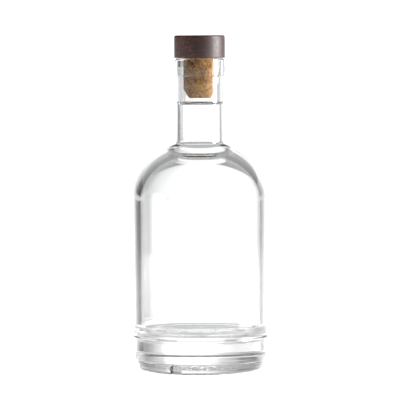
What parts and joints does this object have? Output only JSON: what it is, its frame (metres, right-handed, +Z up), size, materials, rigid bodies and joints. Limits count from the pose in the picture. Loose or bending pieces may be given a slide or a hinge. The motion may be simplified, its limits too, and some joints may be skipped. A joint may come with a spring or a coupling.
{
  "type": "liquor bottle with stopper",
  "caption": "Clear glass spirit bottle: round, heavy base, domed shoulder, slim neck and thick mouth ring, closed by a wooden-headed cork stopper.",
  "frame": {"origin": "centre of the flat ring that the bottle stands on", "axes": "+Z up along the bottle's axis; -Y is the front, with the index notch in the heel a little to its left"},
  "size_m": [0.084, 0.084, 0.207],
  "materials": {
    "clear_glass": "smooth, clear and colourless, with a stippled bearing ring",
    "dark_wood": "turned, dark red-brown stain, satin",
    "cork": "agglomerated natural cork, matt"
  },
  "bodies": {
    "bottle": {"glass_bottle": "clear_glass"},
    "stopper": {"wooden_cap": "dark_wood", "cork_stem": "cork"}
  },
  "joints": [
    {"name": "stopper_pull", "type": "slide", "parent": "bottle", "child": "stopper", "axis": [0, 0, 1], "range_m": [0, 0.04]}
  ]
}
